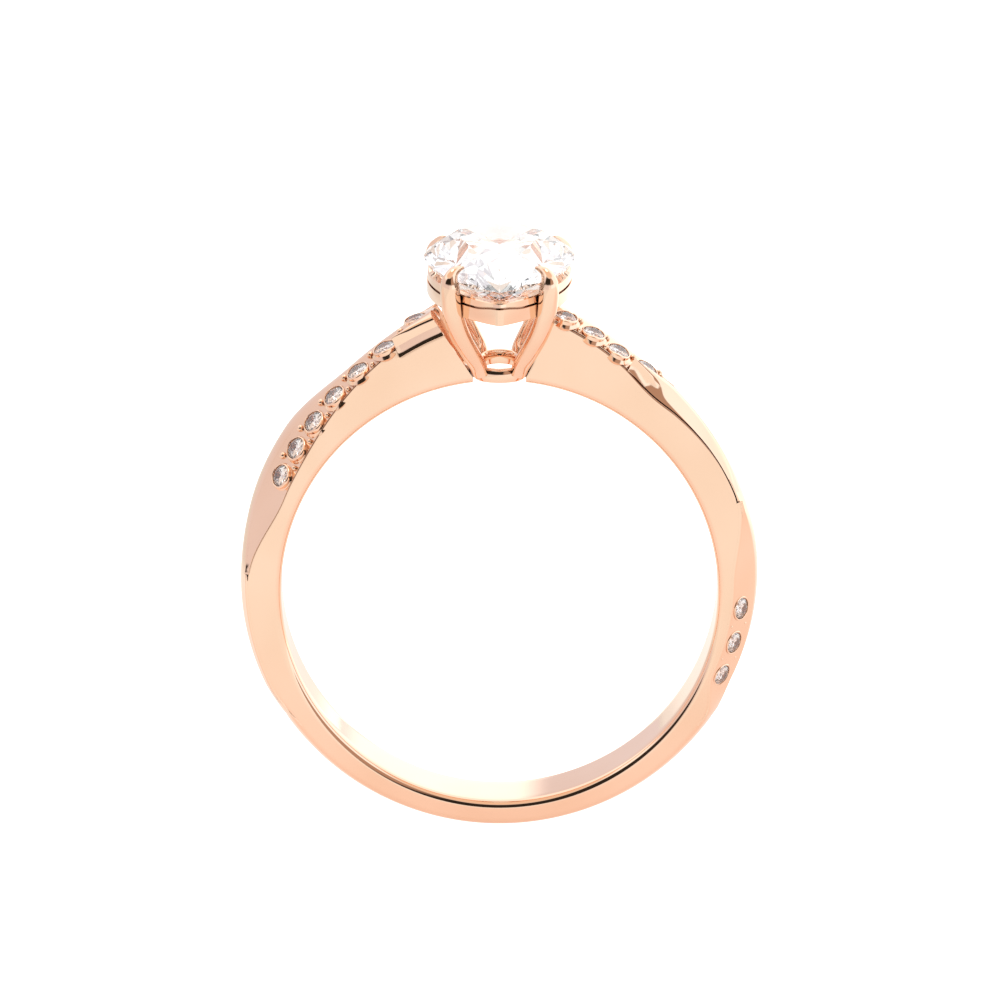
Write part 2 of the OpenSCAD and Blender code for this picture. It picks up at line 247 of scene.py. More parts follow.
class Shell:
    """Closed skins collected into one mesh."""

    def __init__(self):
        self.points = []
        self.faces = []

    def skin(self, sections, closed=False, bevel=0.0):
        """Skins closed sections of equal length; open ends are capped, with a small bevel."""
        if bevel and not closed:
            sections = end_ring(sections, bevel, 0) + sections + end_ring(sections, bevel, -1)
        start = len(self.points)
        n = len(sections[0])
        m = len(sections)
        for section in sections:
            self.points.extend(section)
        for j in range(m if closed else m - 1):
            k = (j + 1) % m
            for i in range(n):
                i2 = (i + 1) % n
                self.faces.append((start + j * n + i, start + j * n + i2,
                                   start + k * n + i2, start + k * n + i))
        if not closed:
            self.faces.append(tuple(start + i for i in range(n - 1, -1, -1)))
            self.faces.append(tuple(start + (m - 1) * n + i for i in range(n)))

    def turned(self, profile, matrix, sides=20):
        """A solid turned about the local Z axis.

        The profile of (radius, height) points runs from the top of the axis to its bottom.
        """
        start = len(self.points)
        self.points.append(matrix @ Vector((0, 0, profile[0][1])))
        for r, z in profile[1:-1]:
            for i in range(sides):
                q = 2 * math.pi * i / sides
                self.points.append(matrix @ Vector((r * math.cos(q), r * math.sin(q), z)))
        self.points.append(matrix @ Vector((0, 0, profile[-1][1])))
        last = len(self.points) - 1
        for i in range(sides):
            i2 = (i + 1) % sides
            self.faces.append((start, start + 1 + i, start + 1 + i2))
            self.faces.append((last, last - sides + i2, last - sides + i))
            for j in range(len(profile) - 3):
                row = start + 1 + j * sides
                self.faces.append((row + i, row + sides + i, row + sides + i2, row + i2))


def end_ring(sections, bevel, end):
    """The smaller section that bevels one end of a skin."""
    here = sections[end]
    inner = sections[1 if end == 0 else -2]
    middle = sum(here, Vector()) / len(here)
    out = middle - sum(inner, Vector()) / len(inner)
    out.normalize()
    size = max((p - middle).length for p in here)
    keep = max(0.0, 1 - bevel / size)
    step_out = 0.6 * bevel
    return [[middle + (p - middle) * keep + out * step_out for p in here]]


def finish_piece(name, bm, material, nodes, sharp=32.0):
    """Turns a mesh in mm into a shown piece that stands for its CAD nodes.

    Edges sharper than the angle sharp stay crisp; at 0 every face is flat.
    """
    bmesh.ops.remove_doubles(bm, verts=bm.verts, dist=WELD)
    bmesh.ops.recalc_face_normals(bm, faces=bm.faces)
    bmesh.ops.scale(bm, vec=(MM, MM, MM), verts=bm.verts)
    mesh = bpy.data.meshes.new(name)
    bm.to_mesh(mesh)
    bm.free()
    obj = bpy.data.objects.new(name, mesh)
    bpy.context.collection.objects.link(obj)
    if sharp > 0:
        mesh.shade_smooth()
        mesh.set_sharp_from_angle(angle=math.radians(sharp))
    mesh.materials.append(material)
    if sharp > 0:
        flat = obj.modifiers.new("flat_faces", "WEIGHTED_NORMAL")
        flat.keep_sharp = True
    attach(obj, "root")
    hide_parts(*nodes)
    return obj


def shell_piece(name, shell, material, nodes, sharp=32.0):
    bm = bmesh.new()
    verts = [bm.verts.new(p) for p in shell.points]
    for face in shell.faces:
        if len(set(face)) > 2:
            bm.faces.new([verts[i] for i in face])
    return finish_piece(name, bm, material, nodes, sharp)


# ---- materials ----
def new_material(name):
    material = bpy.data.materials.new(name)
    material.use_nodes = True
    nodes = material.node_tree.nodes
    return material, nodes, material.node_tree.links, nodes["Principled BSDF"]


def noise(nodes, links, scale, detail=3.0, stretch=(1, 1, 1)):
    """Noise over the piece's own coordinates; scale is in features per metre."""
    place = nodes.new("ShaderNodeTexCoord")
    mapping = nodes.new("ShaderNodeMapping")
    mapping.inputs["Scale"].default_value = stretch
    texture = nodes.new("ShaderNodeTexNoise")
    texture.inputs["Scale"].default_value = scale
    texture.inputs["Detail"].default_value = detail
    links.new(place.outputs["Object"], mapping.inputs["Vector"])
    links.new(mapping.outputs["Vector"], texture.inputs["Vector"])
    return texture.outputs["Fac"]


def ramp(nodes, links, value, low, high, start=0.35, end=0.65):
    node = nodes.new("ShaderNodeValToRGB")
    node.color_ramp.elements[0].position = start
    node.color_ramp.elements[0].color = low
    node.color_ramp.elements[1].position = end
    node.color_ramp.elements[1].color = high
    links.new(value, node.inputs["Fac"])
    return node.outputs["Color"]


def grey(v):
    return (v, v, v, 1)


def bump(nodes, links, value, strength, height):
    """Bump node for a value; height is in mm."""
    node = nodes.new("ShaderNodeBump")
    node.inputs["Strength"].default_value = strength
    node.inputs["Distance"].default_value = height * MM
    links.new(value, node.inputs["Height"])
    return node


GOLD_LOW = (0.93, 0.645, 0.47, 1)
GOLD_HIGH = (0.965, 0.69, 0.52, 1)
# painted shade: the dark colours the gold is mixed towards in its creases and under overhangs; the set
# ribbons' one is a lighter reddish brown
PAINTED_SHADE = (0.16, 0.055, 0.02, 1)
SET_PAINTED_SHADE = (0.5, 0.27, 0.17, 1)


def rose_gold(name, rough, scratch, reach, clears, painted_shade=PAINTED_SHADE):
    """Polished rose gold: slow shifts of tone, polishing lines, and painted shade darkening its creases and
    hollows.

    rough is the range of the roughness and scratch the strength of the polishing lines. reach is how
    far off, in mm, nearby metal still darkens the colour with painted shade, and clears the openness over
    which that painted shade gives way to the gold's tone.
    """
    material, nodes, links, shader = new_material(name)
    shader.inputs["Metallic"].default_value = 1.0
    tone = ramp(nodes, links, noise(nodes, links, scale=260, detail=2.0), GOLD_LOW, GOLD_HIGH)
    # painted shade: ambient occlusion darkens the base colour where other metal is close by, in creases and
    # under overhangs
    shade_occlusion = nodes.new("ShaderNodeAmbientOcclusion")
    shade_occlusion.samples = 8
    shade_occlusion.inputs["Distance"].default_value = reach * MM
    unshaded = ramp(nodes, links, shade_occlusion.outputs["AO"], grey(0.0), grey(1.0), *clears)
    blend = nodes.new("ShaderNodeMix")
    blend.data_type = "RGBA"
    blend.inputs["A"].default_value = painted_shade
    links.new(unshaded, blend.inputs["Factor"])
    links.new(tone, blend.inputs["B"])
    links.new(blend.outputs["Result"], shader.inputs["Base Color"])
    polish = ramp(nodes, links, noise(nodes, links, scale=900, detail=4.0), *(grey(v) for v in rough))
    links.new(polish, shader.inputs["Roughness"])
    lines = noise(nodes, links, scale=9000, detail=5.0, stretch=(1.0, 0.08, 1.0))
    fine = bump(nodes, links, lines, strength=scratch, height=0.002)
    wave = noise(nodes, links, scale=420, detail=1.0)
    broad = bump(nodes, links, wave, strength=0.25, height=0.01)
    links.new(fine.outputs["Normal"], broad.inputs["Normal"])
    links.new(broad.outputs["Normal"], shader.inputs["Normal"])
    return material


def diamond(name, low, high):
    """Clear stone: a high refractive index, with the faintest unevenness of tone."""
    material, nodes, links, shader = new_material(name)
    shader.inputs["Transmission Weight"].default_value = 1.0
    shader.inputs["IOR"].default_value = 2.417
    tone = ramp(nodes, links, noise(nodes, links, scale=1500, detail=3.0), low, high)
    links.new(tone, shader.inputs["Base Color"])
    haze = ramp(nodes, links, noise(nodes, links, scale=3000, detail=2.0), grey(0.0), grey(0.012))
    links.new(haze, shader.inputs["Roughness"])
    return material


BAND_GOLD = rose_gold("band_gold", rough=(0.05, 0.09), scratch=0.25, reach=0.2, clears=(0.42, 0.85))
SET_GOLD = rose_gold("set_gold", rough=(0.06, 0.12), scratch=0.35, reach=0.15, clears=(0.3, 0.8),
                     painted_shade=SET_PAINTED_SHADE)
HEAD_GOLD = rose_gold("head_gold", rough=(0.04, 0.08), scratch=0.2, reach=0.1, clears=(0.3, 0.72))
CENTRE_DIAMOND = diamond("centre_diamond", (0.97, 0.98, 1.0, 1), (1, 1, 1, 1))
SMALL_DIAMOND = diamond("small_diamond", (0.99, 0.91, 0.89, 1), (1, 0.97, 0.96, 1))


# ---- band ----
JOIN = 20                               # angle where the sections leave the cheeks' shape behind
NEAR_HEAD = [i / 10 for i in range(10)]
COMFORT_STEPS = 8


def fillet(corner, start, end, steps=5):
    """Points of a rounded corner from start to end, pulled towards the corner."""
    points = []
    for i in range(steps + 1):
        t = i / steps
        points.append(tuple((1 - t) ** 2 * s + 2 * t * (1 - t) * c + t * t * e
                            for s, c, e in zip(start, corner, end)))
    return points


def side_of(a):
    """Where the plain ribbon lies at a signed angle, positive on the right shoulder."""
    return plain_side(a, "right") if a >= 0 else -plain_side(-a, "left")


def edge_rounding(a):
    """Rounding of the band's outer edges at a signed angle."""
    beside_head = 0.12 if a > 0 else 0.05
    on_the_side = 0.02
    at_foot = 0.14
    d = abs(a)
    return mix(mix(beside_head, on_the_side, smooth((d - 48) / 20)), at_foot, fade(d))


def shank_half(a, side):
    """(y, r) points of half of the band's section, from the middle of the bore to its crown."""
    u = side_of(a)
    d = abs(a)
    points = [(side * y, BORE_R) for y in (0.1, 0.4, 0.8)]
    for i in range(COMFORT_STEPS + 1):
        q = math.radians(90 * i / COMFORT_STEPS)
        points.append((side * (HALF_W - COMFORT * (1 - math.sin(q))), BORE_R + COMFORT * (1 - math.cos(q))))
    edge = edge_rounding(a)
    top = bed_r(d, side * HALF_W, u)
    for t in (0.1, 0.5, 0.9):
        points.append((side * HALF_W, mix(BORE_R + COMFORT, top - edge, t)))
    near = side * (HALF_W - edge)
    points += fillet((side * HALF_W, top), (side * HALF_W, top - edge), (near, bed_r(d, near, u)))
    points += [(near * t, bed_r(d, near * t, u)) for t in (0.85, 0.62, 0.38, 0.13)]
    return points


def shank_section(a):
    return shank_half(a, 1) + shank_half(a, -1)[::-1]


def cheek_section(section_at, shoulder, t, sign=1):
    """A section near the head, moved so that t = 0 lies on the opening's cheek and t = 1 at the join."""
    points = []
    for i in range(len(section_at(sign * JOIN))):
        r = FOOT_R
        for _ in range(5):
            a = mix(opening_angle(r, shoulder), JOIN, t)
            y, r = section_at(sign * a)[i]
        points.append(polar(sign * a, y, r))
    return points


def plain_section(section_at, a):
    return [polar(a, y, r) for y, r in section_at(a)]


def make_shank():
    """The band, from one cheek of the opening round the foot to the other."""
    shell = Shell()
    right = [cheek_section(shank_section, "right", t) for t in NEAR_HEAD]
    left = [cheek_section(shank_section, "left", t, sign=-1) for t in NEAR_HEAD]
    angles = [a if a <= 180 else a - 360 for a in range(JOIN, 361 - JOIN)]
    round_foot = [plain_section(shank_section, a) for a in angles]
    shell.skin(right + round_foot + left[::-1], bevel=0.03)
    shell_piece("shank_look", shell, BAND_GOLD, ["shank"])


# ---- ribbons, worked out on the right shoulder and turned for the left one ----
MIN_WIDTH = 0.04
MIN_HALF = 0.03
FACE_DIVE = 0.6   # how much of a ribbon's dive its face takes part in
# the lip's section, as (distance out of the wall, height over the lip's lower edge)
APRON_PROFILE = [(-0.08, 0), (0.1, 0), (0.105, 0.015), (0.06, 0.13), (0.057, 0.2), (0.017, 0.4),
                 (0.012, 0.47)]


def turn(shoulder):
    return Matrix.Rotation(math.radians(TURN[shoulder]), 4, "Z")


def toe_points(wall, side, foot, tall, tuck):
    """The foot of a ribbon's edge, set back by tuck, and a point inside the band below it."""
    return [(wall - side * (tuck + 0.02), foot - 0.05), (wall - side * tuck, foot + 0.02 * tall)]


def apron_points(a, wall, foot, apron):
    """A lip that stands out from the band's wall below a ribbon, with a hollow above it."""
    low_edge = foot - apron - 0.2 * smooth((a - 10) / 12)
    return [(wall + out, low_edge + up) for out, up in APRON_PROFILE]


def slanted_edge(a, steep, wall, half, foot, edge, corner, face_at):
    """Front edge of a ribbon that overhangs a slanted foot and is rounded far over its face.

    Gives the point over the toe, then the rounding's start, inner end and bend. It turns back into a
    plain edge before the second crossing.
    """
    tall = edge - foot
    share = 1 - smooth((a - 55) / 12)
    roomy = smooth((half - 0.35) / 0.35)
    band = 0.5 * tall * (1 - smooth((a - 28) / 24))
    slant = share * steep * band
    top = wall + min(slant, 0.3 * half)
    over_toe = (max(top - slant, wall - 0.09), foot + mix(0.5, 0.05, share) * tall)
    start = (top, mix(edge - 0.7 * corner, foot + 0.06 * tall + band, share))
    inward = wall + mix(corner, min(0.55, 0.75 * half), share)
    bend = (mix(top, inward, 0.8 * share * roomy), mix(edge + 0.02, face_at(inward) - 0.03, share))
    return over_toe, start, inward, bend


def plain_ribbon_section(shoulder, part):
    """Section of a plain ribbon: a cushioned face, rounded edges and a foot set back under them."""
    sunk_to = SUNK_TO.get((part, shoulder), -SINK_FADE)
    apron = APRON.get((part, shoulder), 0.0)
    steep = SLANT.get((part, shoulder), 0.0)

    def section_at(angle):
        a = abs(angle)
        u = plain_side(a, shoulder)
        low, high = plain_edges(a, u, part)
        middle = (low + high) / 2
        half = max(MIN_HALF, (high - low) / 2)

        def face_at(y):
            return plain_r(a, y, low, high, sunk_to) - FACE_DIVE * dive(a)

        points = []
        for side in (1, -1):
            wall = middle + side * half
            foot = bed_r(a, wall, u) - dive(a)
            edge = face_at(wall)
            tall = edge - foot
            corner = min(CORNER, 0.6 * tall, 0.8 * half)
            tuck = min(undercut(a, wall), 0.8 * tall, 0.5 * half)
            over_toe = (wall, foot + 0.5 * tall)
            start = (wall, edge - 0.7 * corner)
            inward = wall - side * corner
            bend = (wall, edge + 0.02)
            if steep and side < 0:
                over_toe, start, inward, bend = slanted_edge(a, steep, wall, half, foot, edge, corner,
                                                             face_at)
            if apron and side > 0:
                half_section = apron_points(a, wall, foot, apron)
            else:
                half_section = toe_points(wall, side, foot, tall, tuck) + [over_toe]
            half_section += fillet(bend, start, (inward, face_at(inward)), 6)
            for t in (0.75, 0.45, 0.15):
                y = mix(middle, inward, t)
                half_section.append((y, face_at(y)))
            points += half_section if side == 1 else half_section[::-1]
        return points

    return section_at


def run_of_sections(section_at, edges_at, shoulder, first, last, from_cheek):
    """Sections of a ribbon over the angles where it is wide enough, half a degree apart."""
    sections = []
    start = first
    if from_cheek:
        start = JOIN
        for t in NEAR_HEAD:
            sections.append(cheek_section(section_at, shoulder, t))
    steps = int((last - start) * 2)
    for i in range(steps + 1):
        a = start + i / 2
        low, high = edges_at(a)
        if high - low >= MIN_WIDTH:
            sections.append(plain_section(section_at, a))
    return sections


def make_plain_ribbon(shoulder, part, first, last, from_cheek):
    section_at = plain_ribbon_section(shoulder, part)
    sections = run_of_sections(section_at, lambda a: plain_edges(a, plain_side(a, shoulder), part),
                               shoulder, first, last, from_cheek)
    place = turn(shoulder)
    shell = Shell()
    shell.skin([[place @ p for p in s] for s in sections], bevel=0.03)
    name = "plain_ribbon_%s_%s" % (part, shoulder)
    shell_piece(name + "_look", shell, BAND_GOLD, [name])


def seat_place(shoulder, a, part, sideways=0.0):
    """Place on a set ribbon's middle line, with its Z square to the ribbon's face."""
    u = plain_side(a, shoulder)
    low, high = set_edges(a, u, part)
    side = lean_side(a, u, part)
    y = (low + high) / 2 + side * lean(a, u, part) * SEAT_SHIFT + sideways
    fall = set_r(a, low, u, low, high, part) - set_r(a, high, u, low, high, part)
    tilt = math.atan(fall / (high - low))
    return (turn(shoulder) @ Matrix.Rotation(math.radians(a), 4, "Y")
            @ Matrix.Translation((0, y, set_r(a, y, u, low, high, part)))
            @ Matrix.Rotation(-tilt, 4, "X"))


SEAT_R = SMALL_D / 2 + 0.01
CUP_R = 0.475
CUP_DEEP = {"upper": 0.45, "lower": 0.2}
CUP_STRETCH = 0.1    # how far the upper cups are drawn out towards the band's wall
INSIDE_SHARE = 0.4   # how much of that the inside of a cup takes part in
CUP_SKIRT = 0.1      # how far the upper cups spread below their rims
RIM = 0.045          # height of a rim over the ribbon's face
RIM_LIFT = 0.09      # how much higher the drawn-out side of the rim is
RIM_FROM = -0.03     # what lies higher than this is the rim
CUP_SIDES = 32
PROUD = {"upper": (0.08, 0.03), "lower": (0.0, 0.0)}   # how far the face is set back, and more at the wall
TOE_OUT = 0.05       # how far the left upper row's foot spreads under its cups
BEAD_R = {"upper": 0.13, "lower": 0.09}
BEAD_TOP = {"upper": 0.07, "lower": 0.03}
BEAD_BOTTOM = -0.3
BEADS = ((-0.4, 1.0), (0.36, 0.75))   # the two beads between stones: how far sideways, and their size


def set_ribbon_section(shoulder, part):
    """Section of the metal under a row of small stones, set back so that the upper cups stand proud."""
    set_back, more_at_wall = PROUD[part]
    spread = TOE_OUT if (part, shoulder) == ("upper", "left") else 0

    def section_at(angle):
        a = abs(angle)
        u = plain_side(a, shoulder)
        low, high = set_edges(a, u, part)
        middle = (low + high) / 2
        half = max(MIN_HALF, (high - low) / 2)
        lean_to = lean_side(a, u, part)

        def face_at(y):
            to_wall = ((y - low) if lean_to > 0 else (high - y)) / max(0.06, high - low)
            back = (set_back + more_at_wall * to_wall) * (1 - fade(a))
            bed = bed_r(a, y, u) + 0.02
            return max(set_r(a, y, u, low, high, part) - back, bed) - FACE_DIVE * dive(a)

        points = []
        for side in (1, -1):
            wall = middle + side * half
            foot = bed_r(a, wall, u) - dive(a)
            edge = face_at(wall)
            tall = edge - foot
            corner = min(0.07, 0.6 * tall, 0.8 * half)
            tuck = 0.0 if part == "lower" else min(undercut(a, wall), 0.4 * half)
            inward = wall - side * corner
            half_section = toe_points(wall, side, foot, tall, tuck)
            half_section += [(wall + side * spread, foot + 0.1 * tall), (wall, foot + 0.4 * tall)]
            half_section += fillet((wall, edge), (wall, edge - 0.7 * corner), (inward, face_at(inward)), 4)
            for t in (0.7, 0.45, 0.15):
                y = middle + side * half * t
                half_section.append((y, face_at(y)))
            points += half_section if side == 1 else half_section[::-1]
        return points

    return section_at


def add_cup(shell, place, deep, stretch):
    """The U-shaped collar of metal round one small stone.

    A stretch draws out the half towards the band's wall, its outside more than its inside, spreads the
    collar below its rim, and raises the rim on that side. Its sign says which side that is.
    """
    skirt = CUP_SKIRT if stretch else 0.0
    lift = RIM_LIFT if stretch else 0.0
    outside = CUP_R - 0.05
    profile = [(SEAT_R, -deep), (CUP_R - 0.03, -deep), (CUP_R, -0.6 * deep), (CUP_R + skirt - 0.01, -0.17),
               (CUP_R + skirt, -0.15), (CUP_R + 0.01, -0.055), (CUP_R, -0.04), (CUP_R, RIM - 0.03),
               (CUP_R - 0.015, RIM - 0.01), (CUP_R - 0.035, RIM), (SEAT_R + 0.012, RIM - 0.008),
               (SEAT_R, RIM - 0.03)]
    rings = []
    for k in range(CUP_SIDES):
        q = 2 * math.pi * k / CUP_SIDES
        front = max(0.0, math.sin(q) * math.copysign(1.0, stretch))
        longer = abs(stretch) if front > 0 else 0.0
        ring = []
        for r, z in profile:
            reach = r + longer * (1.0 if r > outside else INSIDE_SHARE)
            higher = lift * front ** 2 if z > RIM_FROM else 0.0
            ring.append(place @ Vector((r * math.cos(q), reach * math.sin(q), z + higher)))
        rings.append(ring)
    shell.skin(rings, closed=True)


def add_bead(shell, place, radius, low, high):
    """A round-topped post of metal that holds two neighbouring stones."""
    dome = [(radius * math.sin(math.radians(q)), high - radius * 0.8 * (1 - math.cos(math.radians(q))))
            for q in (0, 20, 40, 60, 75, 90)]
    shell.turned(dome + [(radius, low), (0, low)], place)


def plain_object(shell):
    mesh = bpy.data.meshes.new("work")
    mesh.from_pydata([tuple(p) for p in shell.points], [], [f for f in shell.faces if len(set(f)) > 2])
    bm = bmesh.new()
    bm.from_mesh(mesh)
    bmesh.ops.remove_doubles(bm, verts=bm.verts, dist=WELD)
    bmesh.ops.recalc_face_normals(bm, faces=bm.faces)
    bm.to_mesh(mesh)
    bm.free()
    obj = bpy.data.objects.new("work", mesh)
    bpy.context.collection.objects.link(obj)
    return obj


def cut_out(shell, cutter):
    """The shell's metal without the cutter's solids."""
    metal = plain_object(shell)
    tool = plain_object(cutter)
    step = metal.modifiers.new("pockets", "BOOLEAN")
    step.operation = "DIFFERENCE"
    step.solver = "EXACT"
    step.object = tool
    bpy.context.view_layer.update()
    ready = metal.evaluated_get(bpy.context.evaluated_depsgraph_get())
    mesh = ready.to_mesh()
    left = Shell()
    left.points = [v.co.copy() for v in mesh.vertices]
    left.faces = [tuple(p.vertices) for p in mesh.polygons]
    ready.to_mesh_clear()
    for obj in (metal, tool):
        data = obj.data
        bpy.data.objects.remove(obj)
        bpy.data.meshes.remove(data)
    return left


# what a stone's pocket takes out of the metal under it, as (radius, height)
POCKET = [(0, 0.25), (0.38, 0.25), (0.38, -0.02), (0.06, -0.32), (0, -0.32)]


def make_set_ribbon(shoulder, part, first, last, from_cheek):
    """A stone-set ribbon: its metal, a cup for each stone, and beads between the stones."""
    seats = SEATS[(part, shoulder)]
    section_at = set_ribbon_section(shoulder, part)
    sections = run_of_sections(section_at, lambda a: set_edges(a, plain_side(a, shoulder), part),
                               shoulder, first, last, from_cheek)
    place = turn(shoulder)
    metal = Shell()
    metal.skin([[place @ p for p in s] for s in sections], bevel=0.02)
    pockets = Shell()
    for a in seats:
        pockets.turned(POCKET, seat_place(shoulder, a, part), sides=24)
    shell = cut_out(metal, pockets)
    for a in seats:
        side = lean_side(a, plain_side(a, shoulder), part)
        stretch = side * CUP_STRETCH if part == "upper" else 0.0
        add_cup(shell, seat_place(shoulder, a, part), CUP_DEEP[part], stretch)
    for a, b in zip(seats, seats[1:]):
        side = lean_side(a, plain_side(a, shoulder), part)
        for sideways, size in BEADS:
            bead = seat_place(shoulder, (a + b) / 2, part, sideways * side)
            add_bead(shell, bead, size * BEAD_R[part], BEAD_BOTTOM, BEAD_TOP[part])
    name = "set_ribbon_%s_%s" % (part, shoulder)
    shell_piece(name + "_look", shell, SET_GOLD, [name])


# ---- cut stones ----
def clip(polygons, normal, offset):
    """Keeps the part of a convex body where normal . p <= offset, and closes the cut."""
    kept = []
    rim = []
    for polygon in polygons:
        out = []
        for p, q in zip(polygon, polygon[1:] + polygon[:1]):
            dp = normal.dot(p) - offset
            dq = normal.dot(q) - offset
            if dp <= 0:
                out.append(p)
            if (dp < 0 < dq) or (dq < 0 < dp):
                cross = p.lerp(q, dp / (dp - dq))
                out.append(cross)
                rim.append(cross)
            elif dp == 0:
                rim.append(p)
        if len(out) > 2:
            kept.append(out)
    if len(rim) < 3:
        return polygons if not rim else kept
    middle = sum(rim, Vector()) / len(rim)
    right = normal.orthogonal().normalized()
    up = normal.cross(right)
    rim.sort(key=lambda p: math.atan2((p - middle).dot(up), (p - middle).dot(right)))
    cap = [p for i, p in enumerate(rim) if (p - rim[i - 1]).length > 1e-6]
    if len(cap) > 2:
        kept.append(cap)
    return kept


# a brilliant's facets: where each plane starts and ends, as fractions of the outline's reach
FACETS = 8
FIRST_FACET = -67.5
KITE = (1, 0.56)
STAR = (1.21, 0.517)
PAVILION_MAIN = (1, 0)
UPPER_HALF = (0.981, 0.65)
LOWER_HALF = (0.981, 0.196)
LOWER_HALF_DEPTH = 0.815   # how far down the pavilion the lower halves end


def cut_stone(outline, centre, crown, pavilion, girdle):
    """A brilliant cut over any convex outline: each facet is a plane that trims the rough prism."""
    top = girdle + crown
    bottom = -girdle - pavilion
    flat = [Vector((x, y, 0)) for x, y in outline]
    up = Vector((0, 0, top))
    down = Vector((0, 0, bottom - 0.01))
    body = [[p + up for p in flat], [p + down for p in flat[::-1]]]
    for p, q in zip(flat, flat[1:] + flat[:1]):
        body.append([p + down, q + down, q + up, p + up])
    middle = Vector((centre[0], centre[1], 0))

    def facet(turn_deg, reaches, height, height_2):
        """Plane through two distances from the axis, as fractions of the outline's reach."""
        reach, reach_2 = reaches
        q = math.radians(turn_deg)
        out = Vector((math.cos(q), math.sin(q), 0))
        span = max((p - middle).dot(out) for p in flat)
        along = Vector((span * (reach_2 - reach), 0, height_2 - height))
        slope = Vector((abs(along.z), 0, abs(along.x))).normalized()
        normal = out * slope.x + Vector((0, 0, slope.z if height > 0 else -slope.z))
        through = middle + out * span * reach + Vector((0, 0, height))
        return normal, normal.dot(through)

    pitch = 360 / FACETS
    halves_end = -girdle - LOWER_HALF_DEPTH * pavilion
    planes = []
    for i in range(FACETS):
        turn_deg = pitch * i + FIRST_FACET
        planes.append(facet(turn_deg, KITE, girdle, top))
        planes.append(facet(turn_deg + pitch / 2, STAR, girdle, top))
        planes.append(facet(turn_deg, PAVILION_MAIN, -girdle, bottom))
        for half in (-pitch / 4, pitch / 4):
            planes.append(facet(turn_deg + half, UPPER_HALF, girdle, top))
            planes.append(facet(turn_deg + half, LOWER_HALF, -girdle, halves_end))
    for normal, offset in planes:
        body = clip(body, normal, offset)
    return body


def stone_piece(name, body, place, material, node):
    bm = bmesh.new()
    for polygon in body:
        bm.faces.new([bm.verts.new(place @ p) for p in polygon])
    finish_piece(name, bm, material, [node], sharp=0)


def pear_point(q, grow=0.0):
    """Point of the pear outline at q: 0..1 over the round end, 1..2 and -1..0 over the long arcs."""
    if 0 <= q <= 1:
        t = math.pi * q
        return ((ROUND_R + grow) * math.cos(t), END_Y + (ROUND_R + grow) * math.sin(t))
    reach = ARC_R + grow
    span = math.acos(ARC_X / reach)
    t = span * (q - 1 if q > 1 else -q)
    x = reach * math.cos(t) - ARC_X
    return (-x if q > 1 else x, END_Y - reach * math.sin(t))


LONG_STEPS = 28
ROUND_STEPS = 40


def pear_steps(tip_gap=0.0):
    """Steps of q along the pear from the tip round to the tip, or from one side of a gap to the other."""
    run = [i * (1 - tip_gap) / LONG_STEPS for i in range(LONG_STEPS + 1)]
    there = [-1 + tip_gap + step for step in run[:-1]]
    round_end = [i / ROUND_STEPS for i in range(ROUND_STEPS)]
    back = [1 + step for step in (run if tip_gap else run[:-1])]
    return there + round_end + back


def make_centre_stone():
    outline = [pear_point(q) for q in pear_steps()]
    body = cut_stone(outline, (0, CULET_Y), GEM_CROWN, GEM_PAVILION, GEM_GIRDLE)
    stone_piece("centre_stone_look", body, Matrix.Translation((0, 0, GIRDLE_Z)), CENTRE_DIAMOND,
                "centre_stone")


SMALL_SIDES = 48
SMALL_GIRDLE = 0.015 * SMALL_D
SMALL_CROWN = 0.13 * SMALL_D - SMALL_GIRDLE
SMALL_PAVILION = 0.37 * SMALL_D - SMALL_GIRDLE


def make_small_stones():
    turns = [2 * math.pi * k / SMALL_SIDES for k in range(SMALL_SIDES)]
    outline = [(SMALL_D / 2 * math.cos(q), SMALL_D / 2 * math.sin(q)) for q in turns]
    body = cut_stone(outline, (0, 0), SMALL_CROWN, SMALL_PAVILION, SMALL_GIRDLE)
    for shoulder in ("right", "left"):
        places = [(part, a) for part in ("upper", "lower") for a in SEATS[(part, shoulder)]]
        for number, (part, a) in enumerate(places, 1):
            node = "pave_stone_%s_%d" % (shoulder, number)
            stone_piece(node + "_look", body, seat_place(shoulder, a, part), SMALL_DIAMOND,
                        node)


# ---- head ----
RAIL_TOP = GIRDLE_Z - 0.5
RAIL_H = 0.87
RAIL_OUT = -0.1      # how far the rail lies outside the stone's outline
RAIL_T = 0.4
GROOVE_H = 0.07
GROOVE_DEEP = 0.12
GROOVE_AT = RAIL_H - 0.36
GROOVE_RISE = 0.12   # how much higher the groove is at the tip
TIP_GAP = 0.035
TIP_STEPS = 6


def rail_profile(q):
    """(distance out, height) points of the rail's section."""
    from_tip = min(q + 1, 2 - q) - TIP_GAP
    g = GROOVE_AT + GROOVE_RISE * smooth(1 - from_tip / 0.16)
    return [(-0.05, 0), (-0.015, 0.015), (0, 0.05), (0, g), (-GROOVE_DEEP, g + 0.005),
            (-GROOVE_DEEP, g + GROOVE_H), (-0.015, g + GROOVE_H + 0.015), (-0.03, RAIL_H - 0.04),
            (-0.07, RAIL_H), (-RAIL_T + 0.03, RAIL_H), (-RAIL_T, RAIL_H - 0.03), (-RAIL_T, 0.03),
            (-RAIL_T + 0.03, 0)]


